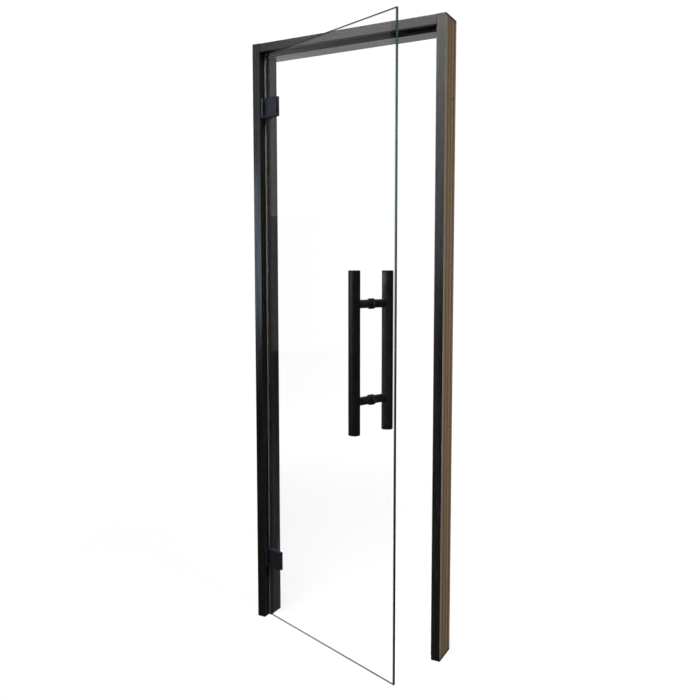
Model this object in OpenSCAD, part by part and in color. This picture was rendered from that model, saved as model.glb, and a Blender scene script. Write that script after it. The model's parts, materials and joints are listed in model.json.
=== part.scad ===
// Glass door in a three-sided rebated timber frame.
// One toughened glass leaf hangs on two clamp hinges and carries a ladder handle on both sides.
// X runs from the hinge jamb to the strike jamb, Y runs from the room side to the back, Z is up.
// The origin is the middle of the hinge jamb's foot, on the floor.

/* [Frame] */
// Overall width of the frame
frame_w = 690; // [560:10:990]
// Overall height of the frame
frame_h = 1990; // [1690:10:2290]
// Depth of the frame from its front face to its back face
frame_d = 92; // [76:1:140]
// Thickness of the jambs and the head, with the stop
frame_t = 42; // [38:1:60]
// How far the stop stands into the doorway
stop_t = 12; // [11:1:16]
// Depth of the rebate in front of the stop
rebate_d = 29; // [27:1:40]
// Width of the eased edges of the timber
arris = 1.5; // [0.5:0.25:3]

/* [Glass leaf] */
// Thickness of the glass
glass_t = 8; // [6:1:10]
// Gap between the glass and the rebate on the strike side
strike_gap = 5; // [3:0.5:8]
// Gap between the glass and the rebate on the hinge side
hinge_gap = 8; // [7.5:0.5:12]
// Gap between the glass and the head
head_gap = 4; // [3:0.5:10]
// Gap between the glass and the floor
floor_gap = 8; // [4:1:20]
// Width of the ground edges of the glass
glass_arris = 0.8; // [0.4:0.1:1.5]
// How far the leaf stands open
open_angle = 20.5; // [0:0.5:105]

/* [Seals] */
// Width of the seal's base
seal_w = 10; // [8:0.5:10.5]
// Thickness of the seal's base
seal_base_t = 1.5; // [1:0.25:2]
// Radius of the seal's hollow bead
seal_bead_r = 3.2; // [2.5:0.1:3.5]
// Wall of the seal's hollow bead
seal_wall = 0.8; // [0.6:0.1:1.2]

/* [Hinges] */
// Height of the hinges
hinge_h = 65; // [60:1:90]
// Height of the lower hinge's middle above the floor
hinge_low_z = 219; // [150:1:400]
// Depth of the upper hinge's middle below the top of the frame
hinge_high_drop = 213; // [150:1:400]
// Diameter of the knuckles
knuckle_d = 12; // [11:0.5:13]
// Diameter of the hinge pin
pin_d = 6; // [5:0.5:6.5]
// Height of each ear on the leaf's side of the hinge
ear_h = 10; // [8:0.5:16]
// How far the hinge axis lies behind the frame's face
axis_in = 5; // [4:0.5:6]
// Thickness of the plate on the jamb
jamb_plate_t = 4; // [3:0.25:4.5]
// Length of the clamp plates along the glass, from the hinge axis
clamp_l = 67; // [58:1:90]
// Thickness of the clamp plates
clamp_t = 5; // [4.5:0.25:6]
// Thickness of the pads between the clamps and the glass
pad_t = 1; // [0.5:0.25:1.5]
// Radius of the clamps' corners
clamp_corner_r = 3; // [2:0.5:8]
// Width of the clamps' eased edges
clamp_edge = 1; // [0.5:0.25:1.5]
// Distance of the clamp screws from the hinge axis
clamp_screw_u = 38; // [30:1:48]
// Spacing of the clamp screws
clamp_screw_spacing = 36; // [24:1:44]
// Diameter of the clamp screws
clamp_screw_d = 6; // [5:0.5:6]
// Diameter of the clamp screws' heads
clamp_head_d = 12; // [10:0.5:12]
// Diameter of the holes for the clamp screws in the glass
clamp_hole_d = 10; // [9:0.5:14]
// Spacing of the screws in the plate on the jamb
plate_screw_spacing = 24; // [18:1:26]
// Diameter of the screws in the plate on the jamb
plate_screw_d = 4.4; // [3.5:0.1:5]
// Diameter of those screws' heads
plate_head_d = 8.5; // [7:0.5:9]
// Length of those screws
plate_screw_l = 30; // [20:1:32]

/* [Handle] */
// Diameter of the handle bars
bar_d = 35; // [30:1:40]
// Length of the handle bars
bar_l = 480; // [340:10:900]
// Wall of the handle bars
bar_wall = 2; // [1.5:0.25:3]
// Distance of the bars' axes from the middle of the glass
bar_reach = 69.5; // [60:0.5:90]
// Height of the handle's middle above the floor
handle_z = 993; // [850:1:1150]
// Distance of the handle from the glass's free edge
handle_inset = 100; // [60:1:160]
// Visible height of the bars' end caps
cap_h = 9; // [4:1:14]
// Radius of the end caps' edges
cap_round = 2; // [1:0.5:3]
// Spacing of the posts
post_spacing = 285; // [200:5:300]
// Diameter of the posts
post_d = 25; // [18:0.5:26]
// Diameter of the posts' flanges on the glass
flange_d = 32; // [31:0.5:40]
// Thickness of the posts' flanges
flange_t = 5; // [4:0.5:6]
// Diameter of the studs that join the two sides
stud_d = 8; // [6:0.5:8]
// Diameter of the holes for the handle in the glass
handle_hole_d = 14; // [12:0.5:16]

/* [Fixings] */
// Diameter of the wall fixing holes in the jambs
fixing_d = 6.5; // [5:0.5:10]
// Diameter of their countersinks
fixing_head_d = 11; // [10:0.5:14]
// Diameter of the dowels in the frame's corners
dowel_d = 10; // [8:1:12]
// Length of the dowels
dowel_l = 40; // [30:1:40]

/* [Hidden] */
// Clearances
run_gap = 0.3;
run_fit = 0.05;
fit = 0.05;
over = 1;

// Heights of the wall fixings as shares of the frame's height
fixing_shares = [0.12, 0.373, 0.627, 0.88];
// Places of the dowels as shares of the stop's depth
dowel_shares = [0.25, 0.75];

// Frame
face_t = frame_t - stop_t;
stop_d = frame_d - rebate_d;
stop_mid_y = rebate_d + stop_d / 2;
origin_x = frame_t / 2;
origin_y = frame_d / 2;
fixing_sink = (fixing_head_d - fixing_d) / 2;
head_joint_z = frame_h - frame_t / 2;

// Seals
seal_t = seal_base_t + seal_bead_r;

// Hinge axis, and the leaf's own places: u along the glass and v towards the back, from the axis
knuckle_r = knuckle_d / 2;
knuckle_gap = 0.5;
axis_off = knuckle_r + knuckle_gap;
axis_x = face_t + axis_off;
axis_y = axis_in;
glass_v1 = rebate_d - seal_t - run_gap - axis_y;
glass_v0 = glass_v1 - glass_t;
glass_mid_v = (glass_v0 + glass_v1) / 2;
glass_u0 = hinge_gap - axis_off;
glass_u1 = frame_w - face_t - strike_gap - axis_x;
glass_z1 = frame_h - face_t - head_gap;
hinge_zs = [hinge_low_z, frame_h - hinge_high_drop];

// Hinges
pin_r = pin_d / 2;
pin_bore_r = pin_r + run_fit;
pin_recess = 0.5;
pin_edge = 0.6;
bush_wall = 1;
bush_r = pin_bore_r + bush_wall;
ear_z = hinge_h / 2 - ear_h;
washer_t = 1;
knuckle_h = 2 * (ear_z - washer_t - run_gap);
knuckle_relief = 0.6;
arm_u0 = jamb_plate_t + 2 * run_gap - axis_off;
arm_fillet = 3;
clamp_v1 = glass_v0 - pad_t;
clamp_v0 = clamp_v1 - clamp_t;
back_clamp_gap = 2;
back_clamp_u0 = frame_t - axis_x + back_clamp_gap;
back_clamp_v0 = glass_v1 + pad_t;
back_clamp_v1 = back_clamp_v0 + clamp_t;
pad_inset = 1;
clamp_thread_floor = 1.5;
clamp_screw_r = clamp_screw_d / 2;
clamp_head_r = clamp_head_d / 2;
clamp_screw_zs = [-clamp_screw_spacing / 2, clamp_screw_spacing / 2];
key_depth = 2;
clamp_key_d = 4.6;
jamb_plate_gap = 1;
jamb_plate_y0 = knuckle_r + jamb_plate_gap;
jamb_plate_y1 = rebate_d - seal_t - run_gap - axis_y;
jamb_plate_mid_y = (jamb_plate_y0 + jamb_plate_y1) / 2;
plate_screw_r = plate_screw_d / 2;
plate_head_r = plate_head_d / 2;
plate_screw_zs = [-plate_screw_spacing, 0, plate_screw_spacing];
plate_screw_tip = 6;
plate_key_d = 3;
plate_key_depth = 1.5;

// Handle
bar_r = bar_d / 2;
bar_bore_r = bar_r - bar_wall;
handle_u = glass_u1 - handle_inset;
cap_spigot_h = 10;
cap_seam = 0.4;
post_r = post_d / 2;
flange_r = flange_d / 2;
post_zs = [-post_spacing / 2, post_spacing / 2];
post_start = glass_t / 2 + pad_t;
post_end = bar_reach - bar_bore_r;
spigot_r = 5;
spigot_root = 4;
spigot_l = bar_wall + spigot_root;
stud_r = stud_d / 2;
stud_l = 18;
handle_hole_r = handle_hole_d / 2;
grub_r = 2.5;
grub_sink = 0.5;
grub_step = 5;
grub_offset = flange_t + grub_step;
grub_key_d = 2.5;

$fn = 64;

// Places

// Moves a thing from the frame's front left corner to the row's origin.
module in_row() {
    translate([-origin_x, -origin_y, 0]) children();
}

// Puts a thing on the hinge axis, at the height of the lower hinge (0) or the upper one (1).
module on_jamb(hinge) {
    in_row() translate([axis_x, axis_y, hinge_zs[hinge]]) children();
}

// Puts a thing on the opened leaf, from the hinge axis at floor level.
module on_leaf() {
    in_row() translate([axis_x, axis_y, 0]) rotate([0, 0, -open_angle]) children();
}

// Puts a thing on the leaf at the height of one of its hinges.
module on_leaf_hinge(hinge) {
    on_leaf() translate([0, 0, hinge_zs[hinge]]) children();
}

// Puts a thing on the middle of the glass at the handle: side 1 is the room side, -1 the back.
module on_handle(side) {
    on_leaf() translate([handle_u, glass_mid_v, handle_z]) mirror([0, side > 0 ? 1 : 0, 0]) children();
}

// Turns a thing that is drawn along Z so that it runs along X, or along Y.
module along_x() rotate([0, 90, 0]) children();
module along_y() rotate([-90, 0, 0]) children();

// Shared shapes

// A ring, from its inner and outer radius and its height.
module ring(inner_r, outer_r, h) {
    linear_extrude(h) difference() {
        circle(outer_r);
        circle(inner_r);
    }
}

// A box with eased edges all round, from its corner and its size: a plate of glass.
module eased_plate(size, ease) {
    intersection() {
        linear_extrude(size.z) eased_rect(size.x, size.y, ease);
        rotate([90, 0, 90]) linear_extrude(size.x) eased_rect(size.y, size.z, ease);
    }
}

// A rectangle with its four corners cut off.
module eased_rect(w, h, ease) {
    polygon([
        [ease, 0], [w - ease, 0], [w, ease], [w, h - ease],
        [w - ease, h], [ease, h], [0, h - ease], [0, ease]
    ]);
}

// A rectangle with round corners.
module round_rect(w, h, r) {
    translate([r, 0]) square([w - 2 * r, h]);
    translate([0, r]) square([w, h - 2 * r]);
    for (x = [r, w - r], y = [r, h - r]) translate([x, y]) circle(r);
}

// A countersunk screw along Z: its head's face is at zero and it points down.
module countersunk_screw(head_r, shank_r, l, tip, key_d, key_h) {
    difference() {
        rotate_extrude() polygon([
            [0, 0], [head_r, 0], [shank_r, shank_r - head_r],
            [shank_r, tip - l], [0, -l]
        ]);
        translate([0, 0, -key_h]) cylinder(h = key_h + over, d = key_d, $fn = 6);
    }
}

// The hole for such a screw, with its clearance.
module countersunk_hole(head_r, shank_r, l) {
    rotate_extrude() polygon([
        [0, over], [head_r + fit, over], [head_r + fit, 0], [shank_r + fit, shank_r - head_r],
        [shank_r + fit, -l], [0, -l]
    ]);
}

// Frame

// Section of a jamb: a face, a rebate and a stop, with its wall side at zero.
module jamb_section() {
    polygon([
        [arris, 0], [face_t - arris, 0], [face_t, arris],
        [face_t, rebate_d], [frame_t - arris, rebate_d], [frame_t, rebate_d + arris],
        [frame_t, frame_d - arris], [frame_t - arris, frame_d],
        [arris, frame_d], [0, frame_d - arris], [0, arris]
    ]);
}

// Places of the dowels along a jamb's depth.
function dowel_y(share) = rebate_d + stop_d * share;

// The dowel's hole or the dowel itself, across the corner at the hinge jamb.
module corner_dowel(r, l) {
    for (share = dowel_shares) translate([frame_t - l / 2, dowel_y(share), head_joint_z])
        along_x() cylinder(h = l, r = r);
}

// A jamb with its wall fixings and the dowels' holes.
module jamb() {
    difference() {
        linear_extrude(frame_h) jamb_section();
        for (share = fixing_shares) translate([frame_t, stop_mid_y, frame_h * share]) along_x() {
            translate([0, 0, -frame_t - over]) cylinder(h = frame_t + 2 * over, d = fixing_d);
            translate([0, 0, -fixing_sink])
                cylinder(h = fixing_sink, d1 = fixing_d, d2 = fixing_head_d);
        }
        corner_dowel(dowel_d / 2 + fit, dowel_l + 2 * fit);
    }
}

// Mirrors a thing from the hinge jamb to the strike jamb.
module at_strike() {
    translate([frame_w, 0, 0]) mirror([1, 0, 0]) children();
}

// The jamb that carries the hinges, with the holes for their screws.
module hinge_jamb() {
    color([0.17, 0.165, 0.16]) in_row() difference() {
        jamb();
        for (z = hinge_zs) translate([axis_x, axis_y, z]) plate_screw_holes();
    }
}

// The jamb that the leaf closes against.
module strike_jamb() {
    color([0.17, 0.165, 0.16]) in_row() at_strike() jamb();
}

// The head, scribed between the two jambs: the full section between the stops, and the front part of it
// between the rebates.
module head() {
    color([0.17, 0.165, 0.16]) in_row() difference() {
        union() {
            head_run(frame_t) jamb_section();
            head_run(face_t) intersection() {
                jamb_section();
                square([face_t, rebate_d]);
            }
        }
        corner_dowel(dowel_d / 2 + fit, dowel_l + 2 * fit);
        at_strike() corner_dowel(dowel_d / 2 + fit, dowel_l + 2 * fit);
    }
}

// Runs a section along the head, from the same inset at each end.
module head_run(inset) {
    translate([inset, 0, frame_h]) along_x() linear_extrude(frame_w - 2 * inset) children();
}

// The dowels in the frame's two upper corners.
module corner_dowels() {
    color([0.78, 0.64, 0.44]) in_row() {
        corner_dowel(dowel_d / 2, dowel_l);
        at_strike() corner_dowel(dowel_d / 2, dowel_l);
    }
}

// Seals

// Section of the seal: a flat base on the stop and a hollow bead in front of it.
module seal_section() {
    translate([-seal_w / 2, 0]) square([seal_w, seal_base_t]);
    translate([0, seal_base_t]) intersection() {
        difference() {
            circle(seal_bead_r);
            circle(seal_bead_r - seal_wall);
        }
        translate([-seal_bead_r, 0]) square([2 * seal_bead_r, seal_bead_r]);
    }
}

// The seal on a jamb's stop.
module side_seal() {
    translate([face_t + stop_t / 2, rebate_d, 0]) rotate([0, 0, 180])
        linear_extrude(frame_h - face_t) seal_section();
}

module hinge_side_seal() {
    color([0.45, 0.45, 0.44]) in_row() side_seal();
}

module strike_side_seal() {
    color([0.45, 0.45, 0.44]) in_row() at_strike() side_seal();
}

// The seal on the head's stop, between the other two.
module head_seal() {
    seal_x0 = face_t + (stop_t + seal_w) / 2;
    color([0.45, 0.45, 0.44]) in_row()
        translate([seal_x0, rebate_d, frame_h - face_t - stop_t / 2])
        rotate([0, 90, 0]) rotate([0, 0, 180]) linear_extrude(frame_w - 2 * seal_x0) seal_section();
}

// Hinges on the jamb

// The holes for the plate's screws, from the hinge axis.
module plate_screw_holes() {
    for (z = plate_screw_zs) translate([jamb_plate_t - axis_off, jamb_plate_mid_y, z]) along_x()
        countersunk_hole(plate_head_r, plate_screw_r, plate_screw_l + fit);
}

// The plate in the rebate, with the middle knuckle on its front edge.
module jamb_plate(hinge) {
    plate_w = jamb_plate_y1 - jamb_plate_y0;
    color([0.09, 0.09, 0.1]) on_jamb(hinge) difference() {
        union() {
            translate([-axis_off, jamb_plate_y0, -hinge_h / 2])
                cube([jamb_plate_t, plate_w, hinge_h]);
            translate([0, 0, -knuckle_h / 2]) linear_extrude(knuckle_h) {
                circle(knuckle_r);
                translate([-axis_off, 0]) square([jamb_plate_t, jamb_plate_y0 + over]);
            }
        }
        translate([0, 0, -knuckle_h]) cylinder(h = 2 * knuckle_h, r = pin_bore_r);
        plate_screw_holes();
    }
}

module lower_jamb_plate() jamb_plate(0);
module upper_jamb_plate() jamb_plate(1);

// The wood screws that hold the plate in the rebate.
module plate_screws(hinge) {
    color([0.12, 0.12, 0.13]) on_jamb(hinge) for (z = plate_screw_zs)
        translate([jamb_plate_t - axis_off, jamb_plate_mid_y, z]) along_x() countersunk_screw(
            plate_head_r, plate_screw_r, plate_screw_l, plate_screw_tip, plate_key_d, plate_key_depth
        );
}

module lower_plate_screws() plate_screws(0);
module upper_plate_screws() plate_screws(1);

// The pin through both ears and the knuckle.
module hinge_pin(hinge) {
    pin_half = hinge_h / 2 - pin_recess;
    color([0.12, 0.12, 0.13]) on_jamb(hinge) rotate_extrude() polygon([
        [0, -pin_half], [pin_r - pin_edge, -pin_half], [pin_r, pin_edge - pin_half],
        [pin_r, pin_half - pin_edge], [pin_r - pin_edge, pin_half], [0, pin_half]
    ]);
}

module lower_hinge_pin() hinge_pin(0);
module upper_hinge_pin() hinge_pin(1);

// The washers that the ears turn on, above and below the knuckle.
module thrust_washers(hinge) {
    color([0.15, 0.15, 0.15]) on_jamb(hinge) for (z = [knuckle_h / 2, -knuckle_h / 2 - washer_t])
        translate([0, 0, z]) ring(pin_bore_r, knuckle_r, washer_t);
}

module lower_thrust_washers() thrust_washers(0);
module upper_thrust_washers() thrust_washers(1);

// Glass

// The pane, with ground edges and the holes for the hinges and the handle.
module glass_pane() {
    pane = [glass_u1 - glass_u0, glass_t, glass_z1 - floor_gap];
    color([0.85, 0.95, 0.92, 0.35]) on_leaf() difference() {
        translate([glass_u0, glass_v0, floor_gap]) eased_plate(pane, glass_arris);
        for (hinge_z = hinge_zs, z = clamp_screw_zs)
            pane_hole(clamp_screw_u, hinge_z + z, clamp_hole_d / 2);
        for (z = post_zs) pane_hole(handle_u, handle_z + z, handle_hole_r);
    }
}

module pane_hole(u, z, r) {
    translate([u, glass_v0 - over, z]) along_y() cylinder(h = glass_t + 2 * over, r = r);
}

// Hinges on the leaf

// A clamp plate from u0 outwards: round corners, and eased edges on the face away from the glass.
module clamp_plate(u0) {
    w = clamp_l - u0;
    edge = [[0, 0], [w, 0], [w, clamp_t - clamp_edge], [w - clamp_edge, clamp_t],
        [clamp_edge, clamp_t], [0, clamp_t - clamp_edge]];
    rim = [[-hinge_h / 2, 0], [hinge_h / 2, 0], [hinge_h / 2, clamp_t - clamp_edge],
        [hinge_h / 2 - clamp_edge, clamp_t], [clamp_edge - hinge_h / 2, clamp_t],
        [-hinge_h / 2, clamp_t - clamp_edge]];
    translate([u0, 0, 0]) intersection() {
        translate([0, clamp_t, 0]) rotate([90, 0, 0]) linear_extrude(clamp_t)
            translate([0, -hinge_h / 2]) round_rect(w, hinge_h, clamp_corner_r);
        translate([0, 0, -hinge_h / 2]) linear_extrude(hinge_h) polygon(edge);
        rotate([90, 0, 90]) linear_extrude(w) polygon([for (p = rim) [p.y, p.x]]);
    }
}

// Section of an ear: the knuckle, and the arm that joins it to the front clamp.
module ear_section() {
    circle(knuckle_r);
    translate([arm_u0, 0]) square([knuckle_r - arm_u0, clamp_v1]);
    translate([knuckle_r, clamp_v0]) mirror([0, 1]) difference() {
        translate([-over, -over]) square(arm_fillet + over);
        translate([arm_fillet, arm_fillet]) circle(arm_fillet);
    }
}

// The front clamp with its two ears, cast in one piece, and hollowed between them for the jamb's knuckle.
module front_clamp(hinge) {
    color([0.09, 0.09, 0.1]) on_leaf_hinge(hinge) difference() {
        union() {
            translate([0, clamp_v1, 0]) mirror([0, 1, 0]) clamp_plate(arm_u0);
            for (z = [ear_z, -ear_z - ear_h]) translate([0, 0, z]) linear_extrude(ear_h) ear_section();
        }
        translate([0, 0, -ear_z]) cylinder(h = 2 * ear_z, r = knuckle_r + knuckle_relief);
        translate([0, 0, -hinge_h]) cylinder(h = 2 * hinge_h, r = bush_r + fit);
        for (z = clamp_screw_zs) translate([clamp_screw_u, clamp_v0 + clamp_thread_floor - fit, z])
            along_y() cylinder(h = clamp_t, r = clamp_screw_r + fit);
    }
}

module lower_front_clamp() front_clamp(0);
module upper_front_clamp() front_clamp(1);

// The back clamp, with the clamp screws' countersinks.
module back_clamp(hinge) {
    color([0.09, 0.09, 0.1]) on_leaf_hinge(hinge) difference() {
        translate([0, back_clamp_v0, 0]) clamp_plate(back_clamp_u0);
        for (z = clamp_screw_zs) translate([clamp_screw_u, back_clamp_v1, z]) along_y()
            countersunk_hole(clamp_head_r, clamp_screw_r, clamp_t + over);
    }
}

module lower_back_clamp() back_clamp(0);
module upper_back_clamp() back_clamp(1);

// A pad from u0 outwards, with a collar round each clamp screw that reaches to mid glass.
module clamp_pad(u0) {
    pad_h = hinge_h - 2 * pad_inset;
    collar_l = pad_t + glass_t / 2;
    difference() {
        union() {
            translate([u0, pad_t, -pad_h / 2]) rotate([90, 0, 0]) linear_extrude(pad_t)
                round_rect(clamp_l - pad_inset - u0, pad_h, clamp_corner_r);
            for (z = clamp_screw_zs) translate([clamp_screw_u, pad_t - collar_l, z])
                along_y() cylinder(h = collar_l, r = clamp_hole_d / 2 - fit);
        }
        for (z = clamp_screw_zs) translate([clamp_screw_u, -glass_t, z])
            along_y() cylinder(h = 2 * glass_t, r = clamp_screw_r + fit);
    }
}

module front_pad(hinge) {
    color([0.2, 0.2, 0.2]) on_leaf_hinge(hinge)
        translate([0, glass_v0, 0]) mirror([0, 1, 0]) clamp_pad(glass_u0 + pad_inset);
}

module back_pad(hinge) {
    color([0.2, 0.2, 0.2]) on_leaf_hinge(hinge)
        translate([0, glass_v1, 0]) clamp_pad(back_clamp_u0 + pad_inset);
}

module lower_front_pad() front_pad(0);
module upper_front_pad() front_pad(1);
module lower_back_pad() back_pad(0);
module upper_back_pad() back_pad(1);

// The screws that draw the two clamps together, from the back.
module clamp_screws(hinge) {
    l = back_clamp_v1 - clamp_v0 - clamp_thread_floor;
    color([0.12, 0.12, 0.13]) on_leaf_hinge(hinge) for (z = clamp_screw_zs)
        translate([clamp_screw_u, back_clamp_v1, z]) along_y()
        countersunk_screw(clamp_head_r, clamp_screw_r, l, 0, clamp_key_d, key_depth);
}

module lower_clamp_screws() clamp_screws(0);
module upper_clamp_screws() clamp_screws(1);

// The bushes in the ears, which run on the pin.
module ear_bushes(hinge) {
    color([0.15, 0.15, 0.15]) on_leaf_hinge(hinge) for (z = [ear_z, -ear_z - ear_h])
        translate([0, 0, z]) ring(pin_bore_r, bush_r, ear_h);
}

module lower_ear_bushes() ear_bushes(0);
module upper_ear_bushes() ear_bushes(1);

// Handle, drawn with Y pointing away from the glass

// A bar: a tube with a hole for each post's spigot.
module handle_bar(side) {
    tube_l = bar_l - 2 * cap_h;
    color([0.1, 0.1, 0.105]) on_handle(side) translate([0, bar_reach, 0]) difference() {
        translate([0, 0, -tube_l / 2]) ring(bar_bore_r, bar_r, tube_l);
        for (z = post_zs) translate([0, -bar_d, z])
            along_y() cylinder(h = bar_d, r = spigot_r + fit);
    }
}

module outer_handle_bar() handle_bar(1);
module inner_handle_bar() handle_bar(-1);

// The caps in a bar's two ends: a round edge, a fine seam and a spigot in the tube.
module bar_caps(side) {
    color([0.08, 0.08, 0.085]) on_handle(side) for (end = [0, 1])
        translate([0, bar_reach, 0]) mirror([0, 0, end]) translate([0, 0, bar_l / 2 - cap_h])
        rotate_extrude() {
            translate([0, -cap_spigot_h]) square([bar_bore_r - fit, cap_spigot_h + over]);
            square([bar_r - cap_seam, cap_h - cap_round]);
            translate([0, cap_seam]) square([bar_r, cap_h - cap_round - cap_seam]);
            square([bar_r - cap_round, cap_h]);
            translate([bar_r - cap_round, cap_h - cap_round]) circle(cap_round);
        }
}

module outer_bar_caps() bar_caps(1);
module inner_bar_caps() bar_caps(-1);

// A post: a full-round flange on the glass, a shaft that is coped to the bar, and a spigot in it.
module post(side, end) {
    color([0.1, 0.1, 0.105]) on_handle(side) translate([0, 0, post_zs[end]]) difference() {
        union() {
            difference() {
                translate([0, post_start, 0]) along_y() {
                    rotate_extrude() {
                        square([flange_r - flange_t / 2, flange_t]);
                        translate([flange_r - flange_t / 2, flange_t / 2]) circle(flange_t / 2);
                    }
                    cylinder(h = bar_reach - post_start, r = post_r);
                }
                translate([0, bar_reach, -flange_d]) cylinder(h = 2 * flange_d, r = bar_r + fit);
            }
            translate([0, post_end - spigot_l, 0]) along_y() cylinder(h = spigot_l, r = spigot_r);
        }
        translate([0, post_start - over, 0]) along_y() cylinder(h = stud_l + over, r = stud_r + fit);
        translate([0, post_start + grub_offset, -post_d]) cylinder(h = post_d, r = grub_r + fit);
    }
}

module outer_lower_post() post(1, 0);
module outer_upper_post() post(1, 1);
module inner_lower_post() post(-1, 0);
module inner_upper_post() post(-1, 1);

// The pads between the posts' flanges and the glass.
module post_pads(side) {
    color([0.2, 0.2, 0.2]) on_handle(side) for (z = post_zs)
        translate([0, glass_t / 2, z]) along_y() ring(stud_r + fit, flange_r - flange_t / 2, pad_t);
}

module outer_post_pads() post_pads(1);
module inner_post_pads() post_pads(-1);

// The studs that join the posts of the two sides through the glass.
module handle_studs() {
    stud_half = post_start + stud_l - fit;
    color([0.7, 0.7, 0.72]) on_handle(1) for (z = post_zs)
        translate([0, -stud_half, z]) along_y() cylinder(h = 2 * stud_half, r = stud_r);
}

// The sleeves between the studs and the glass.
module handle_sleeves() {
    color([0.15, 0.15, 0.15]) on_handle(1) for (z = post_zs)
        translate([0, -glass_t / 2, z]) along_y() ring(stud_r + fit, handle_hole_r - fit, glass_t);
}

// The grub screws that lock the posts on the studs, from below.
module post_grub_screws() {
    grub_l = post_r - grub_sink - stud_r - fit;
    color([0.12, 0.12, 0.13]) for (side = [1, -1]) on_handle(side) for (z = post_zs)
        translate([0, post_start + grub_offset, z - post_r + grub_sink]) difference() {
            cylinder(h = grub_l, r = grub_r);
            translate([0, 0, -over]) cylinder(h = over + key_depth, d = grub_key_d, $fn = 6);
        }
}

hinge_jamb();
strike_jamb();
head();
corner_dowels();
hinge_side_seal();
head_seal();
strike_side_seal();
lower_jamb_plate();
upper_jamb_plate();
lower_plate_screws();
upper_plate_screws();
lower_hinge_pin();
upper_hinge_pin();
lower_thrust_washers();
upper_thrust_washers();
glass_pane();
lower_front_clamp();
upper_front_clamp();
lower_back_clamp();
upper_back_clamp();
lower_front_pad();
upper_front_pad();
lower_back_pad();
upper_back_pad();
lower_clamp_screws();
upper_clamp_screws();
lower_ear_bushes();
upper_ear_bushes();
outer_handle_bar();
inner_handle_bar();
outer_bar_caps();
inner_bar_caps();
outer_lower_post();
outer_upper_post();
inner_lower_post();
inner_upper_post();
outer_post_pads();
inner_post_pads();
handle_studs();
handle_sleeves();
post_grub_screws();
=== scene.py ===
# %% [markdown]
# # A framed glass door
# The door is one pane of clear glass, hung on two black clamp hinges in a dark stained timber frame,
# with a black pull handle through the pane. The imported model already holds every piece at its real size
# and place, so this lesson leaves the shapes alone. It sets the camera, the floor and the light, and
# then gives each surface the finish that it has on the real door.

import json
import math

import bmesh
import bpy
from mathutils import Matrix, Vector


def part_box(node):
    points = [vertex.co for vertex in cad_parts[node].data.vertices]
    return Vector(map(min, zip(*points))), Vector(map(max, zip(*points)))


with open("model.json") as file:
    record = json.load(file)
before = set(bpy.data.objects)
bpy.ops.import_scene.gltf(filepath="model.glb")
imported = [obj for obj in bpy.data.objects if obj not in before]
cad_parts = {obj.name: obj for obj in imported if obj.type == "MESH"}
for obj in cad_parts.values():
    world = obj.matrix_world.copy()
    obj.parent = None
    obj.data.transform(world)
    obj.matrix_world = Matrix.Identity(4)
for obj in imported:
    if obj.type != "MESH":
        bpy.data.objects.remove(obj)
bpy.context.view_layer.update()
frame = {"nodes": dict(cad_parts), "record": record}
nodes = frame["nodes"]

# %% [markdown]
# ## The camera
# The picture was taken from the right of the door, at about chest height, so the near jamb shows its
# raw outer side and the open leaf comes towards us. The eye point, the turn and the tilt were found by
# matching the frame's corners in the picture to their real places. The lens looks at a point a little
# above the picture's middle, and a camera does that with a small vertical shift: a stronger tilt would
# make the uprights lean.

# %% Camera
picture_size = 700
optical_middle_y = 330.0
focal_length_px = 738.6
sensor_width = 36.0
eye = Vector((1.4481, -2.1644, 1.2348))
turn = math.radians(27.394)
tilt = math.radians(4.668)

camera_data = bpy.data.cameras.new("camera")
camera_data.sensor_width = sensor_width
camera_data.lens = focal_length_px / picture_size * sensor_width
camera_data.shift_y = (optical_middle_y - picture_size / 2) / picture_size
camera = bpy.data.objects.new("camera", camera_data)
camera.location = eye
camera.rotation_euler = (math.pi / 2 - tilt, 0.0, turn)
bpy.context.scene.collection.objects.link(camera)
bpy.context.scene.camera = camera
print("lens:", round(camera_data.lens, 2), "mm, shift:", round(camera_data.shift_y, 4))

# %% [markdown]
# ## Small helpers for shader trees
# A shader tree written in code is mostly two acts: add a node, and feed each of its sockets either with
# a plain value or with another node's output. One helper does both, so that every tree below reads from
# top to bottom like a recipe.

# %% Shader helpers


def feed(tree, socket, value):
    """Links another node's output to a socket, or writes a plain value there."""
    if isinstance(value, bpy.types.NodeSocket):
        tree.links.new(value, socket)
    else:
        socket.default_value = value


def add(tree, kind, inputs=None, **settings):
    """Adds one node, sets its settings, and feeds the inputs that are named or numbered."""
    made = tree.nodes.new(kind)
    for name, value in settings.items():
        setattr(made, name, value)
    for name, value in (inputs or {}).items():
        feed(tree, made.inputs[name], value)
    return made


def maths(tree, operation, first, second=0.0, clamp=False):
    """One Math node; returns its output."""
    made = add(tree, "ShaderNodeMath", {0: first, 1: second}, operation=operation, use_clamp=clamp)
    return made.outputs[0]


def between(tree, value, low, high, low_result=0.0, high_result=1.0):
    """A soft step: low_result below low, high_result above high."""
    ranges = {"From Min": low, "From Max": high, "To Min": low_result, "To Max": high_result}
    made = add(tree, "ShaderNodeMapRange", {"Value": value, **ranges}, interpolation_type="SMOOTHSTEP")
    return made.outputs[0]


def object_place(tree):
    """Object coordinates, in metres from the door's origin."""
    return add(tree, "ShaderNodeTexCoord").outputs["Object"]


def bare_material(name):
    """A material whose tree is empty; returns both."""
    material = bpy.data.materials.new(name)
    material.use_nodes = True
    material.node_tree.nodes.clear()
    return material, material.node_tree


print("shader helpers: feed, add, maths, between, object_place and bare_material")

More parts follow.
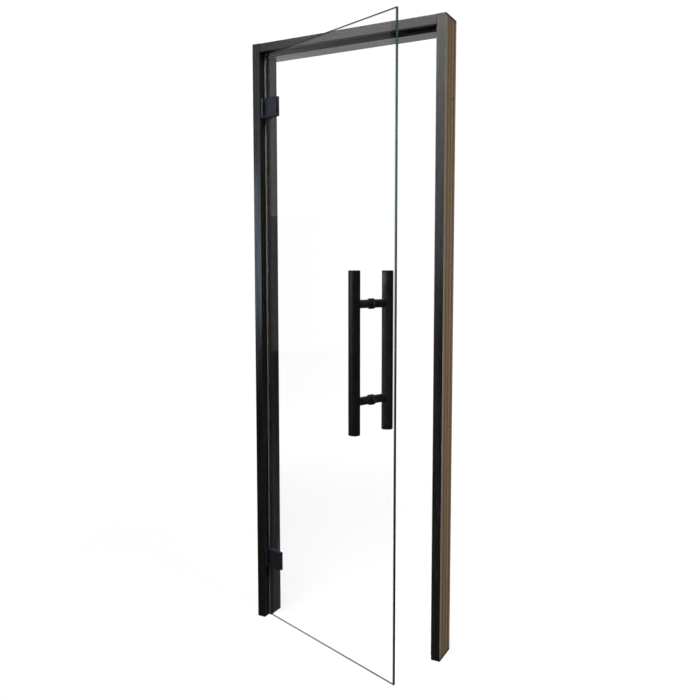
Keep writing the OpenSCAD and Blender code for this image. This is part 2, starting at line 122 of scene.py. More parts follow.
# %% [markdown]
# ## White floor and backdrop
# The door stands on plain white. The floor is a wide disc. Its own grey catches the door's soft shadow,
# and a glow that only eyes, reflections and glass can see lifts it to white. The glow grows with the
# distance, so that the floor's rim can't be told from the white sky around it. White is set a hair
# above 1, or the pane's faint tint would grey what stands behind it.
#
# A dark satin frame shows mostly what it mirrors, so reflections get a room of their own. Light that
# was mirrored on its way, also inside the glass, finds white only straight behind the door, and a dim
# sky and a dimmer floor on all other sides. Close to the door the mirrored floor is dim too, or the
# foot of the jamb's inner side would glow. That is why the front faces and that inner side are nearly
# black, as in the picture, while the underside of the head, which mirrors the floor further back, is
# pale. As a light the sky is weak, so that the lamps decide how bright the door is.

# %% What eyes and mirrors see
white = (1.0, 1.0, 1.0, 1.0)
white_level = 1.03
white_way = (-math.sin(turn), math.cos(turn), 0.0)
dim_below = 0.58
white_above = 0.82
half_a_bounce = 0.5


def seen_rays(tree, direction, dim, white_share=1.0):
    """White for the eye, also through glass; in mirrors white only the white way, and dim elsewhere."""
    path = add(tree, "ShaderNodeLightPath").outputs
    unit = add(tree, "ShaderNodeVectorMath", {0: direction}, operation="NORMALIZE").outputs[0]
    along = add(tree, "ShaderNodeVectorMath", {0: unit, 1: white_way}, operation="DOT_PRODUCT")
    behind = between(tree, along.outputs["Value"], dim_below, white_above, dim, white_share)
    mirrored = maths(tree, "GREATER_THAN", path["Glossy Depth"], half_a_bounce)
    level = maths(tree, "MULTIPLY", white_level, between(tree, mirrored, 0.0, 1.0, 1.0, behind))
    seen = maths(tree, "ADD", path["Is Camera Ray"], path["Is Glossy Ray"])
    seen = maths(tree, "ADD", seen, path["Is Transmission Ray"], clamp=True)
    return maths(tree, "MULTIPLY", level, seen)


print("mirrors find white towards", [round(part, 3) for part in white_way])

# %% Floor
floor_radius = 9.0
floor_corners = 96
floor_colour = (0.2, 0.2, 0.2, 1.0)
floor_glow_near = 0.845
floor_glow_far = 0.97
glow_rises_from = 1.0
glow_full_at = 3.5
dim_floor = 0.02
mirror_dim_near = 0.8
mirror_white_far = 2.4


def white_floor():
    """The floor's finish: matt grey for the shadow, and a glow that rises to white far from the door."""
    material, tree = bare_material("white_floor")
    place = object_place(tree)
    away = add(tree, "ShaderNodeVectorMath", {0: place}, operation="LENGTH").outputs["Value"]
    glow = between(tree, away, glow_rises_from, glow_full_at, floor_glow_near, floor_glow_far)
    far_share = between(tree, away, mirror_dim_near, mirror_white_far, dim_floor, 1.0)
    strength = maths(tree, "MULTIPLY", glow, seen_rays(tree, place, dim_floor, far_share))
    matt = add(tree, "ShaderNodeBsdfDiffuse", {"Color": floor_colour})
    shine = add(tree, "ShaderNodeEmission", {"Color": white, "Strength": strength})
    both = add(tree, "ShaderNodeAddShader", {0: matt.outputs[0], 1: shine.outputs[0]})
    add(tree, "ShaderNodeOutputMaterial", {"Surface": both.outputs[0]})
    return material


floor_shape = bmesh.new()
bmesh.ops.create_circle(floor_shape, cap_ends=True, segments=floor_corners, radius=floor_radius)
floor_mesh = bpy.data.meshes.new("floor")
floor_shape.to_mesh(floor_mesh)
floor_shape.free()
floor_mesh.materials.append(white_floor())
floor = bpy.data.objects.new("floor", floor_mesh)
bpy.context.scene.collection.objects.link(floor)
print("floor radius:", floor_radius, "m, glow:", floor_glow_near, "to", floor_glow_far)

# %% Sky
sky_light = 0.12
dim_room = 0.1

world = bpy.data.worlds.new("white_sky")
bpy.context.scene.world = world
world.use_nodes = True
sky = world.node_tree
sky.nodes.clear()
direction = add(sky, "ShaderNodeTexCoord").outputs["Generated"]
bounces = add(sky, "ShaderNodeLightPath").outputs["Glossy Depth"]
unmirrored = maths(sky, "LESS_THAN", bounces, half_a_bounce)
sky_lamp = maths(sky, "MULTIPLY", unmirrored, sky_light)
sky_strength = maths(sky, "MAXIMUM", seen_rays(sky, direction, dim_room), sky_lamp)
sky_shine = add(sky, "ShaderNodeBackground", {"Color": white, "Strength": sky_strength})
add(sky, "ShaderNodeOutputWorld", {"Surface": sky_shine.outputs[0]})
print("sky light:", sky_light, "and in mirrors:", dim_room)

# %% [markdown]
# ## Soft lamps
# In the picture the frame is brightest at its upper right corner and almost black at its feet, and the
# rebate under the head lies in shadow. A dark satin face shows lamps mostly as sheen, so two kinds of
# lamp are set apart here. Sheen panels are only seen in reflections. The largest hangs high in front,
# where the bright corner mirrors it, with a weaker panel below it that draws the sheen down the jamb.
# Three cool panels on the left stand for windows: they give the hinges, the hinge jamb and the handle
# their bluish sheen, and the glass a pale veil that is weaker low down. Fill lamps only light the
# surfaces, and leave no streaks on black metal: one high in front, whose steep light leaves the rebate
# dark, one on the right for the raw outer side, and one behind the door.

# %% Lamps
neutral_light = (1.0, 1.0, 1.0)
window_light = (0.66, 0.8, 1.0)
pale_light = (0.92, 0.96, 1.0)


def softbox(name, place, target, width, height, watts, colour=neutral_light, sheen=False):
    """A rectangular area lamp that looks at a target, and is either seen as sheen or lights surfaces."""
    lamp = bpy.data.lights.new(name, "AREA")
    lamp.shape = "RECTANGLE"
    lamp.size = width
    lamp.size_y = height
    lamp.energy = watts
    lamp.color = colour
    holder = bpy.data.objects.new(name, lamp)
    holder.location = place
    holder.rotation_euler = (Vector(target) - Vector(place)).to_track_quat("-Z", "Y").to_euler()
    holder.visible_glossy = sheen
    holder.visible_diffuse = not sheen
    bpy.context.scene.collection.objects.link(holder)
    print(name, "at", place, watts, "W,", "sheen" if sheen else "fill")


softbox(
    "front_panel",
    place=(-0.3, -2.4, 2.9),
    target=(0.4, 0.0, 1.6),
    width=1.7,
    height=1.1,
    watts=63.0,
    sheen=True,
)
softbox(
    "lower_front_panel",
    place=(-0.15, -2.35, 1.8),
    target=(0.4, 0.0, 1.5),
    width=0.7,
    height=1.1,
    watts=9.0,
    sheen=True,
)
softbox(
    "window_panel",
    place=(-1.5, -2.3, 1.4),
    target=(0.0, 0.0, 1.3),
    width=0.6,
    height=1.0,
    watts=26.0,
    colour=window_light,
    sheen=True,
)
softbox(
    "high_window_panel",
    place=(-1.9, -0.6, 2.3),
    target=(0.05, -0.05, 1.75),
    width=1.4,
    height=1.5,
    watts=5.2,
    colour=pale_light,
    sheen=True,
)
softbox(
    "low_window_panel",
    place=(-1.9, -0.6, 1.15),
    target=(0.05, -0.05, 1.0),
    width=1.4,
    height=0.85,
    watts=0.9,
    colour=pale_light,
    sheen=True,
)
softbox("top_lamp", place=(0.5, -1.7, 3.7), target=(0.4, 0.0, 1.2), width=1.6, height=1.2, watts=80.0)
softbox("right_lamp", place=(2.9, -0.7, 1.2), target=(0.65, 0.0, 1.1), width=1.0, height=1.6, watts=24.0)
softbox("back_lamp", place=(-2.6, 2.2, 2.3), target=(0.3, 0.0, 1.0), width=1.5, height=1.5, watts=35.0)

# %% [markdown]
# ## Timber
# The frame is heat-treated wood with straight grain. The faces that people see are stained almost
# black, and the outer faces, which are hidden once the door is built in, are left raw and brown. A
# picture of wood could be wrapped around the pieces, but it would show seams at the corners. A solid
# figure is better: growth rings are tubes around a pith that lies beside the timber, so distance from
# that line, bent a little by noise, gives rings that agree on all faces and turn into arcs on the ends.
# Fine pores are noise that is stretched along the grain. Both the stained frame and the dowels use it,
# so it is a node group.

# %% Group and noise helpers
noise_middle = 0.5


def new_group(name, inputs, outputs):
    """An empty shader group with named sockets; returns it with its entry and exit sockets."""
    group = bpy.data.node_groups.new(name, "ShaderNodeTree")
    for label, kind, value in inputs:
        socket = group.interface.new_socket(label, in_out="INPUT", socket_type=kind)
        if value is not None:
            socket.default_value = value
    for label, kind in outputs:
        group.interface.new_socket(label, in_out="OUTPUT", socket_type=kind)
    entry = group.nodes.new("NodeGroupInput")
    leave = group.nodes.new("NodeGroupOutput")
    return group, entry.outputs, leave.inputs


def show_group(group):
    """Prints a group's name and its sockets."""
    print("group:", group.name, [socket.name for socket in group.interface.items_tree])


def noise(tree, vector, scale, detail=3.0, roughness=0.5):
    """A noise value around 0.5."""
    inputs = {"Vector": vector, "Scale": scale, "Detail": detail, "Roughness": roughness}
    return add(tree, "ShaderNodeTexNoise", inputs).outputs[0]


def swing(tree, vector, scale, reach):
    """Noise that swings about zero, by half of reach at most to either side."""
    centred = maths(tree, "SUBTRACT", noise(tree, vector, scale), noise_middle)
    return maths(tree, "MULTIPLY", centred, reach)


def stretch(tree, vector, factors):
    """Squeezes a vector, so that a pattern on it is drawn out along the axis with the small factor."""
    return add(tree, "ShaderNodeVectorMath", {0: vector, 1: factors}, operation="MULTIPLY").outputs[0]


print("group and noise helpers: new_group, show_group, noise, swing and stretch")

# %% Timber figure
ring_width = 0.006
ring_bend = 0.03
bend_drawn_out = (1.0, 1.0, 0.05)
bends_per_metre = 9.0
across_the_grain = (1.0, 1.0, 0.0)
late_wood_power = 2.0
pore_drawn_out = (1.0, 1.0, 0.025)
pores_per_metre = 950.0
pore_rim, pore_heart = 0.52, 0.72
tone_drawn_out = (1.0, 1.0, 0.08)
tones_per_metre = 34.0
tone_low, tone_high = 0.3, 0.7
ring_wear = 0.35
pore_wear = 0.65


def timber_figure_group():
    """Rings, pores, broad tone and relief of a timber whose grain runs along Z."""
    group, entry, leave = new_group(
        "timber figure",
        [
            ("Place", "NodeSocketVector", None),
            ("Ring Width", "NodeSocketFloat", ring_width),
            ("Bend", "NodeSocketFloat", ring_bend),
        ],
        [
            ("Rings", "NodeSocketFloat"),
            ("Pores", "NodeSocketFloat"),
            ("Tone", "NodeSocketFloat"),
            ("Height", "NodeSocketFloat"),
        ],
    )
    place = entry["Place"]
    bend = swing(group, stretch(group, place, bend_drawn_out), bends_per_metre, entry["Bend"])
    across = stretch(group, place, across_the_grain)
    from_pith = add(group, "ShaderNodeVectorMath", {0: across}, operation="LENGTH").outputs["Value"]
    turns = maths(group, "DIVIDE", maths(group, "ADD", from_pith, bend), entry["Ring Width"])
    rings = maths(group, "POWER", maths(group, "FRACT", turns), late_wood_power)
    needles = noise(group, stretch(group, place, pore_drawn_out), pores_per_metre, detail=2.0)
    pores = between(group, needles, pore_rim, pore_heart)
    streaks = noise(group, stretch(group, place, tone_drawn_out), tones_per_metre, detail=4.0)
    tone = between(group, streaks, tone_low, tone_high)
    worn_rings = maths(group, "MULTIPLY", rings, ring_wear)
    worn_pores = maths(group, "MULTIPLY", pores, pore_wear)
    worn = maths(group, "ADD", worn_rings, worn_pores)
    feed(group, leave["Rings"], rings)
    feed(group, leave["Pores"], pores)
    feed(group, leave["Tone"], tone)
    feed(group, leave["Height"], maths(group, "SUBTRACT", 1.0, worn))
    return group


timber_figure = timber_figure_group()
show_group(timber_figure)

# %% [markdown]
# ## Helpers for finishes
# Each finish is a material with one Principled shader. Colours are easier to judge as a screen shows
# them, so they are written that way and turned into the linear values that shaders need. The packed
# pieces keep their meshes: a finish reaches them through their material slots, and the record says
# which pieces share one.

# %% Finish helpers
screen_white = 255
# The numbers of the Mix node's sockets for colours, which share their names with other sockets.
mix_share, mix_first, mix_second, mix_result = 0, 6, 7, 2


def screen_colour(red, green, blue):
    """A colour as a screen shows it, 0 to 255, turned into the linear values that shaders use."""
    linear = []
    for value in (red, green, blue):
        share = value / screen_white
        # The screens' standard curve is straight for the darkest tones and a power above them.
        linear.append(share / 12.92 if share <= 0.04045 else ((share + 0.055) / 1.055) ** 2.4)
    return (*linear, 1.0)


def blend_colours(tree, share, first, second):
    """A colour that goes from first to second as share goes from 0 to 1."""
    inputs = {mix_share: share, mix_first: first, mix_second: second}
    made = add(tree, "ShaderNodeMix", inputs, data_type="RGBA", clamp_factor=True)
    return made.outputs[mix_result]


def new_material(name):
    """A material with one Principled shader; returns it with its tree and that shader."""
    material, tree = bare_material(name)
    shader = add(tree, "ShaderNodeBsdfPrincipled")
    add(tree, "ShaderNodeOutputMaterial", {"Surface": shader.outputs[0]}, name="output")
    return material, tree, shader


def use_group(tree, group, inputs):
    """Places a group in a tree and feeds its named inputs; returns its outputs."""
    return add(tree, "ShaderNodeGroup", inputs, node_tree=group).outputs


def bump(tree, height, depth, strength):
    """A normal that makes height stand up to depth metres."""
    made = add(tree, "ShaderNodeBump", {"Height": height, "Distance": depth, "Strength": strength})
    return made.outputs[0]


def dress(node_names, material):
    """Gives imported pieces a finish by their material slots, and leaves their meshes alone."""
    for name in node_names:
        for slot in nodes[name].material_slots:
            slot.material = material
    print(material.name, "on", ", ".join(node_names))


def in_slot(slot_name):
    """The nodes that the record puts in one material slot."""
    subparts = frame["record"]["subparts"]
    return [part["node"] for part in subparts if part["material_slot"] == slot_name]


# %% [markdown]
# ## Raw outer sides
# The outer faces of the frame were never stained. They show brown heat-treated wood: broad lighter and
# darker stripes that run with the grain and deepen a little towards the front, fine pores, and a reddish
# stripe near the back edge. A pale strip along the front edge is a painted highlight: the sheen of the
# eased arris. Stripes from noise alone would be different in number and width each time, so a cosine
# across the depth sets their spacing, and noise only makes them drift. The stain ends just inside the
# eased edges, where the brush stopped, and it runs over the ends by a finger's width at most, so the raw
# share of a face fades out there.

# %% Raw wood
raw_light = screen_colour(168, 144, 117)
raw_dark = screen_colour(112, 93, 72)
raw_red = screen_colour(98, 72, 51)
# The pale colour of the painted arris highlight.
raw_painted_highlight = screen_colour(160, 150, 132)
stripe_spacing = 0.0245
stripe_drift = 0.006
drift_drawn_out = (1.0, 1.0, 0.15)
drifts_per_metre = 16.0
light_stripe_y = -0.0115
wave_dark, wave_light = -1.0, 0.2
front_shade_share = 0.45
red_stripe_in = 0.017
red_stripe_half = 0.006
red_stripe_share = 0.65
highlight_strip = 0.012
raw_ring_share = 0.25
raw_pore_share = 0.3
jamb_low, jamb_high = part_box("strike_jamb")
front_y, back_y, top_z = jamb_low.y, jamb_high.y, jamb_high.z


def raw_wood(tree, place, figure):
    """Bare wood: stripes across the depth, reddish at the back, a pale painted arris highlight in front,
    with rings and pores.
    """
    depth = add(tree, "ShaderNodeSeparateXYZ", {0: place}).outputs["Y"]
    drift = swing(tree, stretch(tree, place, drift_drawn_out), drifts_per_metre, stripe_drift)
    drifted = maths(tree, "ADD", depth, drift)
    turns = maths(tree, "DIVIDE", maths(tree, "SUBTRACT", drifted, light_stripe_y), stripe_spacing)
    wave = maths(tree, "COSINE", maths(tree, "MULTIPLY", turns, math.tau))
    colour = blend_colours(tree, between(tree, wave, wave_dark, wave_light), raw_dark, raw_light)
    front_shade = between(tree, drifted, front_y, back_y, front_shade_share, 0.0)
    colour = blend_colours(tree, front_shade, colour, raw_dark)
    from_red = maths(tree, "ABSOLUTE", maths(tree, "SUBTRACT", drifted, back_y - red_stripe_in))
    reddish = between(tree, from_red, 0.0, red_stripe_half, red_stripe_share, 0.0)
    colour = blend_colours(tree, reddish, colour, raw_red)
    # Painted highlight: a pale strip along the front edge stands for the sheen of the eased arris.
    arris_highlight = between(tree, drifted, front_y + highlight_strip / 2, front_y + highlight_strip, 1.0, 0.0)
    colour = blend_colours(tree, arris_highlight, colour, raw_painted_highlight)
    ringed = maths(tree, "MULTIPLY", figure["Rings"], raw_ring_share)
    colour = blend_colours(tree, ringed, colour, raw_dark)
    porous = maths(tree, "MULTIPLY", figure["Pores"], raw_pore_share)
    return blend_colours(tree, porous, colour, raw_red)


print("raw side:", round(back_y - front_y, 4), "m deep,", round(top_z, 3), "m high")

# %% Where the stain stops
stain_stop = 0.0006
stain_fade = 0.0006
stained_end = 0.011
brush_wander = 0.0014
wanders_per_metre = 45.0


def raw_share(tree, place, direction, distance):
    """1 on the raw face, given by its direction and its distance from the origin, and 0 on stain."""
    wander = swing(tree, place, wanders_per_metre, brush_wander)
    along = add(tree, "ShaderNodeVectorMath", {0: place, 1: direction}, operation="DOT_PRODUCT")
    reach = maths(tree, "ADD", along.outputs["Value"], wander)
    return between(tree, reach, distance - stain_stop - stain_fade, distance - stain_stop)


def clear_of_ends(tree, place):
    """0 at a jamb's foot and top, which the stain seals, and 1 between them."""
    height = add(tree, "ShaderNodeSeparateXYZ", {0: place}).outputs["Z"]
    above = between(tree, height, stained_end / 2, stained_end)
    below = between(tree, height, top_z - stained_end, top_z - stained_end / 2, 1.0, 0.0)
    return maths(tree, "MULTIPLY", above, below)


print("stain stops", stain_stop, "m inside the edges and", stained_end, "m from the ends")

# %% [markdown]
# ## Stained frame timbers
# Stain soaks into wood, so the figure still shows faintly through it: the stain is deepest in the late
# wood of the rings and in the broad dark streaks. Over it lies a thin satin oil, whose gloss follows
# the figure too, because late wood soaks up less. Each timber has its own material, because its grain
# runs its own way and its raw side lies elsewhere. A Mapping node turns the head's grain along the head
# and moves the pith beside the wood.

# %% Stained timber
stain_deep = screen_colour(9, 9, 9)
stain_light = screen_colour(28, 25, 23)
stain_mirror = 0.2
streak_mean = 0.5
satin_from, satin_to = 0.1, 0.8
satin_dull, satin_glossy = 0.36, 0.22
bare_roughness = 0.85
grain_depth = 0.0001
grain_strength = 0.45
jamb_pith = (0.19, 0.26, 0.0)
head_pith = (2.18, 0.26, 0.0)
along_the_jamb = (0.0, 0.0, 0.0)
along_the_head = (0.0, -math.pi / 2, 0.0)


def stained_timber(name, raw_direction, raw_distance, grain_turn, pith):
    """Near-black stain over straight grain, with raw brown wood on the outer face."""
    material, tree, shader = new_material(name)
    place = object_place(tree)
    turned = add(tree, "ShaderNodeMapping", {"Vector": place, "Rotation": grain_turn, "Location": pith})
    wood_inputs = {"Place": turned.outputs[0], "Ring Width": ring_width, "Bend": ring_bend}
    figure = use_group(tree, timber_figure, wood_inputs)
    streak = maths(tree, "MULTIPLY", maths(tree, "ADD", figure["Rings"], figure["Tone"]), streak_mean)
    stain = blend_colours(tree, streak, stain_light, stain_deep)
    bare = raw_share(tree, place, raw_direction, raw_distance)
    if grain_turn == along_the_jamb:
        bare = maths(tree, "MULTIPLY", bare, clear_of_ends(tree, place))
    colour = blend_colours(tree, bare, stain, raw_wood(tree, place, figure))
    feed(tree, shader.inputs["Base Color"], colour)
    satin = between(tree, streak, satin_from, satin_to, satin_dull, satin_glossy)
    rough = maths(tree, "MAXIMUM", satin, maths(tree, "MULTIPLY", bare, bare_roughness))
    feed(tree, shader.inputs["Roughness"], rough)
    feed(tree, shader.inputs["Normal"], bump(tree, figure["Height"], grain_depth, grain_strength))
    shader.inputs["Specular IOR Level"].default_value = stain_mirror
    return material


hinge_outer_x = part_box("hinge_jamb")[0].x
strike_outer_x = jamb_high.x
dress(
    ["hinge_jamb"],
    stained_timber("stained_hinge_jamb", (-1.0, 0.0, 0.0), -hinge_outer_x, along_the_jamb, jamb_pith),
)
dress(
    ["strike_jamb"],
    stained_timber("stained_strike_jamb", (1.0, 0.0, 0.0), strike_outer_x, along_the_jamb, jamb_pith),
)
dress(["head"], stained_timber("stained_head", (0.0, 0.0, 1.0), top_z, along_the_head, head_pith))

# %% [markdown]
# ## Dowels
# A pair of beech dowels lines up each upper corner. Only a saw would show them, but each piece of the
# door gets the finish that it has on the bench. They are turned from straight pale wood, so the same
# figure serves, with narrow rings and pale colours.

# %% Dowels
beech_light = screen_colour(214, 181, 140)
beech_dark = screen_colour(176, 138, 96)
beech_ring_width = 0.002
beech_ring_bend = 0.008
beech_smooth, beech_rough = 0.55, 0.7
beech_grain_strength = 0.3


def beech():
    """Pale straight-grained wood whose grain runs across the door."""
    material, tree, shader = new_material("beech_dowel")
    mapping = {"Vector": object_place(tree), "Rotation": along_the_head, "Location": head_pith}
    turned = add(tree, "ShaderNodeMapping", mapping)
    wood_inputs = {"Place": turned.outputs[0], "Ring Width": beech_ring_width, "Bend": beech_ring_bend}
    figure = use_group(tree, timber_figure, wood_inputs)
    feed(tree, shader.inputs["Base Color"], blend_colours(tree, figure["Rings"], beech_light, beech_dark))
    rough = between(tree, figure["Pores"], 0.0, 1.0, beech_smooth, beech_rough)
    feed(tree, shader.inputs["Roughness"], rough)
    feed(tree, shader.inputs["Normal"], bump(tree, figure["Height"], grain_depth, beech_grain_strength))
    return material


dress(in_slot("dowel_timber"), beech())

# %% [markdown]
# ## Coated metal
# The hinges and the handle are powder coated. The powder melts into a skin with a fine ripple, and its
# gloss changes slowly over the piece. Hinges have a matt powder and the handle a smoother satin one. So
# the skin is one group with a ripple, a slow cloud and a few fine specks, and each material sets its
# own ripple size. The ripple only feeds the bump, because a new coat's colour is all but even.

# %% Coat skin
usual_ripples = 900.0
usual_clouds = 30.0
cloud_low, cloud_high = 0.3, 0.7
speck_fineness = 2.3
speck_rim, speck_heart = 0.66, 0.78


def coat_skin_group():
    """A fine ripple, a slow cloud and fine specks for painted metal."""
    group, entry, leave = new_group(
        "coat skin",
        [
            ("Place", "NodeSocketVector", None),
            ("Ripples per Metre", "NodeSocketFloat", usual_ripples),
            ("Clouds per Metre", "NodeSocketFloat", usual_clouds),
        ],
        [("Ripple", "NodeSocketFloat"), ("Cloud", "NodeSocketFloat"), ("Specks", "NodeSocketFloat")],
    )
    place = entry["Place"]
    ripple = noise(group, place, entry["Ripples per Metre"], detail=2.0)
    haze = noise(group, place, entry["Clouds per Metre"])
    dots_per_metre = maths(group, "MULTIPLY", entry["Ripples per Metre"], speck_fineness)
    dots = noise(group, place, dots_per_metre, detail=1.0)
    feed(group, leave["Ripple"], ripple)
    feed(group, leave["Cloud"], between(group, haze, cloud_low, cloud_high))
    feed(group, leave["Specks"], between(group, dots, speck_rim, speck_heart))
    return group


coat_skin = coat_skin_group()
show_group(coat_skin)

# %% Coated pieces
speck_colour = screen_colour(70, 72, 78)
speck_share = 0.25
ripple_strength = 0.4


def coated_metal(name, dark, pale, ripples, ripple_depth, gloss, dull, mirror=0.2):
    """Black powder coat: dark to pale with the cloud, gloss to dull with it too."""
    material, tree, shader = new_material(name)
    skin = use_group(tree, coat_skin, {"Place": object_place(tree), "Ripples per Metre": ripples})
    colour = blend_colours(tree, skin["Cloud"], dark, pale)
    speck = maths(tree, "MULTIPLY", skin["Specks"], speck_share)
    feed(tree, shader.inputs["Base Color"], blend_colours(tree, speck, colour, speck_colour))
    feed(tree, shader.inputs["Roughness"], between(tree, skin["Cloud"], 0.0, 1.0, gloss, dull))
    feed(tree, shader.inputs["Normal"], bump(tree, skin["Ripple"], ripple_depth, ripple_strength))
    shader.inputs["Specular IOR Level"].default_value = mirror
    return material


hinge_coat = coated_metal(
    "matt_black_hinge",
    dark=screen_colour(12, 16, 27),
    pale=screen_colour(18, 24, 39),
    ripples=1100.0,
    ripple_depth=0.00012,
    gloss=0.48,
    dull=0.6,
    mirror=0.32,
)
handle_coat = coated_metal(
    "satin_black_handle",
    dark=screen_colour(13, 13, 14),
    pale=screen_colour(19, 19, 21),
    ripples=1600.0,
    ripple_depth=0.00005,
    gloss=0.34,
    dull=0.44,
)
screw_coat = coated_metal(
    "blackened_screw",
    dark=screen_colour(24, 24, 26),
    pale=screen_colour(40, 40, 43),
    ripples=2500.0,
    ripple_depth=0.00003,
    gloss=0.3,
    dull=0.45,
)
dress(in_slot("black_hardware"), hinge_coat)
dress(in_slot("black_handle"), handle_coat)
dress(in_slot("black_screws"), screw_coat)

# %% [markdown]
# ## Turned steel and black nylon
# The hinge pins are blackened steel and the handle's studs are bright steel. Both are turned, so their
# skin carries fine rings round the bar. Bushes, washers and sleeves are black nylon with the same faint
# rings from the lathe. Rings could be cut into the mesh, but at a few hundredths of a millimetre only
# the light shows them. So a group draws them along the upright axis of the hinges, from noise that is
# flattened into thin slices. The studs and the sleeves can't be seen once the handle is on, so the same
# fine lines serve there.

# %% Lathe rings
thin_slices = (0.002, 0.002, 1.0)
usual_lathe_rings = 2500.0


def lathe_rings_group():
    """Thin rings along Z, as a lathe tool leaves them."""
    group, entry, leave = new_group(
        "lathe rings",
        [("Place", "NodeSocketVector", None), ("Rings per Metre", "NodeSocketFloat", usual_lathe_rings)],
        [("Rings", "NodeSocketFloat")],
    )
    slices = stretch(group, entry["Place"], thin_slices)
    feed(group, leave["Rings"], noise(group, slices, entry["Rings per Metre"], detail=2.0))
    return group


lathe_rings = lathe_rings_group()
show_group(lathe_rings)

# %% Turned pieces
lathe_low, lathe_high = 0.2, 0.8
lathe_depth = 0.00002
lathe_strength = 0.3


def turned_piece(name, dark, pale, metallic, gloss, dull):
    """Steel or nylon from the lathe, with fine rings in its colour and its gloss."""
    material, tree, shader = new_material(name)
    rings = use_group(tree, lathe_rings, {"Place": object_place(tree)})["Rings"]
    feed(tree, shader.inputs["Base Color"], blend_colours(tree, rings, dark, pale))
    feed(tree, shader.inputs["Roughness"], between(tree, rings, lathe_low, lathe_high, gloss, dull))
    feed(tree, shader.inputs["Normal"], bump(tree, rings, lathe_depth, lathe_strength))
    shader.inputs["Metallic"].default_value = metallic
    return material


bright_steel = turned_piece(
    "bright_steel",
    dark=screen_colour(150, 152, 155),
    pale=screen_colour(196, 198, 201),
    metallic=1.0,
    gloss=0.22,
    dull=0.34,
)
blackened_steel = turned_piece(
    "blackened_steel",
    dark=screen_colour(34, 35, 38),
    pale=screen_colour(58, 59, 63),
    metallic=1.0,
    gloss=0.3,
    dull=0.42,
)
black_nylon = turned_piece(
    "black_nylon",
    dark=screen_colour(22, 22, 23),
    pale=screen_colour(36, 36, 38),
    metallic=0.0,
    gloss=0.42,
    dull=0.55,
)
dress(in_slot("bright_steel"), bright_steel)
dress(in_slot("black_pins"), blackened_steel)
dress(in_slot("black_nylon"), black_nylon)

# %% [markdown]
# ## Seals and pads
# The seals in the jambs' rebates are grey silicone. The seal under the head is grey silicone too, but
# it is coloured nearly black: that is painted shade, for the shadow of the head's front lip. The pads
# beside the glass are dark rubber. All are dull, and hold a thin bloom of dust that makes them patchy.
# One
# group gives that bloom: broad clouds broken up by a fine grain. A seal is squeezed out of a die, so its
# bloom is drawn out along its length.

# %% Dust bloom
usual_patches = 40.0
patch_rim, patch_heart = 0.35, 0.7
grains_per_metre = 1800.0
grain_low, grain_high = 0.2, 0.6


def dust_bloom_group():
    """A patchy mask of dust and a fine grain for the bump."""
    group, entry, leave = new_group(
        "dust bloom",
        [("Place", "NodeSocketVector", None), ("Patches per Metre", "NodeSocketFloat", usual_patches)],
        [("Bloom", "NodeSocketFloat"), ("Grain", "NodeSocketFloat")],
    )
    place = entry["Place"]
    clouds = noise(group, place, entry["Patches per Metre"], detail=4.0, roughness=0.6)
    patches = between(group, clouds, patch_rim, patch_heart)
    grain = noise(group, place, grains_per_metre, detail=1.0)
    broken = between(group, grain, grain_low, grain_high)
    feed(group, leave["Bloom"], maths(group, "MULTIPLY", patches, broken))
    feed(group, leave["Grain"], grain)
    return group


dust_bloom = dust_bloom_group()
show_group(dust_bloom)

# %% Silicone and rubber
rubber_grain_depth = 0.00004
rubber_grain_strength = 0.3
rubber_mirror = 0.04


def rubber(name, bare, dusty, drawn_out, gloss, dull):
    """Soft dull rubber under a bloom of dust."""
    material, tree, shader = new_material(name)
    place = stretch(tree, object_place(tree), drawn_out)
    bloom = use_group(tree, dust_bloom, {"Place": place})
    feed(tree, shader.inputs["Base Color"], blend_colours(tree, bloom["Bloom"], bare, dusty))
    feed(tree, shader.inputs["Roughness"], between(tree, bloom["Bloom"], 0.0, 1.0, gloss, dull))
    grainy = bump(tree, bloom["Grain"], rubber_grain_depth, rubber_grain_strength)
    feed(tree, shader.inputs["Normal"], grainy)
    shader.inputs["Specular IOR Level"].default_value = rubber_mirror
    return material


grey_silicone = rubber(
    "grey_silicone",
    bare=screen_colour(144, 140, 131),
    dusty=screen_colour(164, 160, 150),
    drawn_out=(1.0, 1.0, 0.12),
    gloss=0.7,
    dull=0.9,
)
# The head's seal is grey silicone as well; its nearly black colours are painted shade under the head's
# lip.
painted_shade_head_silicone = rubber(
    "painted_shade_head_silicone",
    bare=screen_colour(22, 22, 22),
    dusty=screen_colour(36, 36, 35),
    drawn_out=(0.12, 1.0, 1.0),
    gloss=0.7,
    dull=0.9,
)
black_rubber = rubber(
    "black_rubber",
    bare=screen_colour(40, 43, 49),
    dusty=screen_colour(62, 65, 72),
    drawn_out=(1.0, 1.0, 1.0),
    gloss=0.6,
    dull=0.85,
)
dress(["hinge_side_seal", "strike_side_seal"], grey_silicone)
dress(["head_seal"], painted_shade_head_silicone)
dress(in_slot("black_pads"), black_rubber)

# %% [markdown]
# ## Clear toughened glass
# Seen square on, the pane is all but invisible, and its faces mirror only weakly in the soft light.
# Seen into its ground edges, where light has come a long way through the glass, it is dark green. The
# whole volume could be coloured, but how green its edge then looks is hard to steer. Here the edges are
# found by their place: how far along the leaf a point is, and how high. The joint's lower limit is the
# closed door, so it tells how far the leaf is open as modelled, and with that which way it points.
# Edges get a deep green and a ground, dull surface, and the faces stay clear with the faintest film of
# handling marks. The green is painted paler at the top and darker low down: painted light, standing for
# the light that comes down inside the pane from above. Lamps look straight through the pane, or its
# shadow would be as black as a board's.

# %% Glass
clear_tint = (0.996, 0.999, 0.998, 1.0)
weak_mirror = (0.1, 0.1, 0.1, 1.0)
glass_ior = 1.5
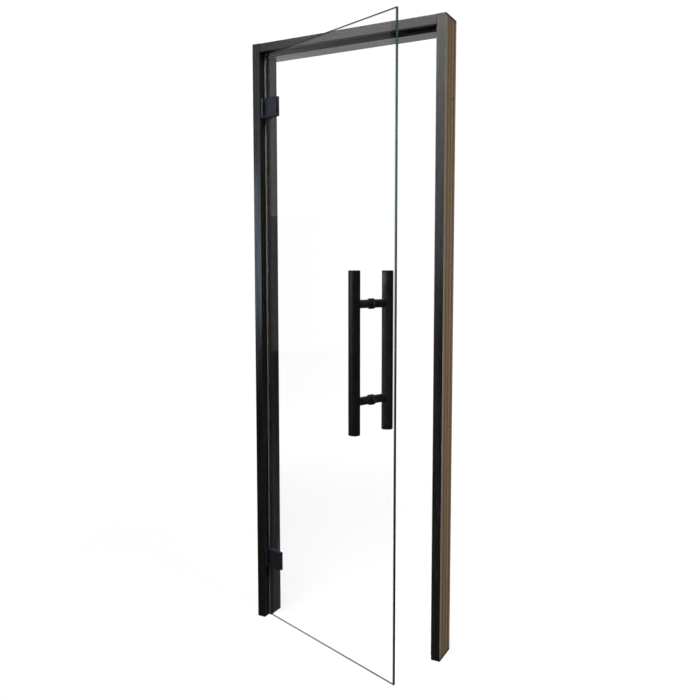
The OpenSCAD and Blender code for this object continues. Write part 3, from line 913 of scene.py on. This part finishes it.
# The edge green's painted light: paler high up, darker low down.
edge_green_painted_lit = (0.008, 0.018, 0.014, 1.0)
edge_green_painted_dim = (0.0008, 0.0014, 0.0013, 1.0)
lit_from_share, lit_full_share = 0.3, 0.75
ground_band = 0.0011
green_band = 0.006
edge_roughness = 0.9
marks_per_metre = 14.0
film_roughness = 0.015
lamp_tint = (0.93, 0.96, 0.945, 1.0)
pane_low, pane_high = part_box("glass_pane")
leaf_swing = frame["record"]["behaviour"]["joints"][0]
opening_angle = -math.radians(leaf_swing["range_deg"][0])
along_leaf = Vector((math.cos(opening_angle), -math.sin(opening_angle), 0.0))


def to_nearer_end(tree, value, low, high):
    """How far a value lies inside the nearer of two ends."""
    from_low = maths(tree, "SUBTRACT", value, low)
    from_high = maths(tree, "SUBTRACT", high, value)
    return maths(tree, "MINIMUM", from_low, from_high)


def clear_glass():
    """Clear faces, deep green ground edges that painted light makes paler at the top, and no dark shadow.
    """
    material, tree, shader = new_material("clear_glass")
    place = object_place(tree)
    width = add(tree, "ShaderNodeVectorMath", {0: place, 1: along_leaf}, operation="DOT_PRODUCT")
    height = add(tree, "ShaderNodeSeparateXYZ", {0: place}).outputs["Z"]
    reaches = [corner.co.dot(along_leaf) for corner in nodes["glass_pane"].data.vertices]
    to_side = to_nearer_end(tree, width.outputs["Value"], min(reaches), max(reaches))
    to_edge = maths(tree, "MINIMUM", to_side, to_nearer_end(tree, height, pane_low.z, pane_high.z))
    edges = between(tree, to_edge, ground_band, green_band, 1.0, 0.0)
    ground = maths(tree, "LESS_THAN", to_edge, ground_band)
    # Painted light: the edge green is paler high in the pane and darker low down.
    lit = between(tree, height, pane_high.z * lit_from_share, pane_high.z * lit_full_share)
    green = blend_colours(tree, lit, edge_green_painted_dim, edge_green_painted_lit)
    feed(tree, shader.inputs["Base Color"], blend_colours(tree, edges, clear_tint, green))
    marks = use_group(tree, dust_bloom, {"Place": place, "Patches per Metre": marks_per_metre})["Bloom"]
    film = maths(tree, "MULTIPLY", marks, film_roughness)
    dull = maths(tree, "MULTIPLY", ground, edge_roughness)
    feed(tree, shader.inputs["Roughness"], maths(tree, "ADD", film, dull))
    shader.inputs["Transmission Weight"].default_value = 1.0
    shader.inputs["IOR"].default_value = glass_ior
    shader.inputs["Specular Tint"].default_value = weak_mirror
    lamps = add(tree, "ShaderNodeLightPath").outputs["Is Shadow Ray"]
    through = add(tree, "ShaderNodeBsdfTransparent", {"Color": lamp_tint})
    both = add(tree, "ShaderNodeMixShader", {0: lamps, 1: shader.outputs[0], 2: through.outputs[0]})
    feed(tree, tree.nodes["output"].inputs["Surface"], both.outputs[0])
    print("pane reaches from", round(min(reaches), 4), "to", round(max(reaches), 4), "m along the leaf")
    return material


dress(in_slot("clear_glass"), clear_glass())

# %% [markdown]
# ## Colours on screen
# Colours go to the screen as they are.

# %% Finish
bpy.context.scene.view_settings.view_transform = "Standard"
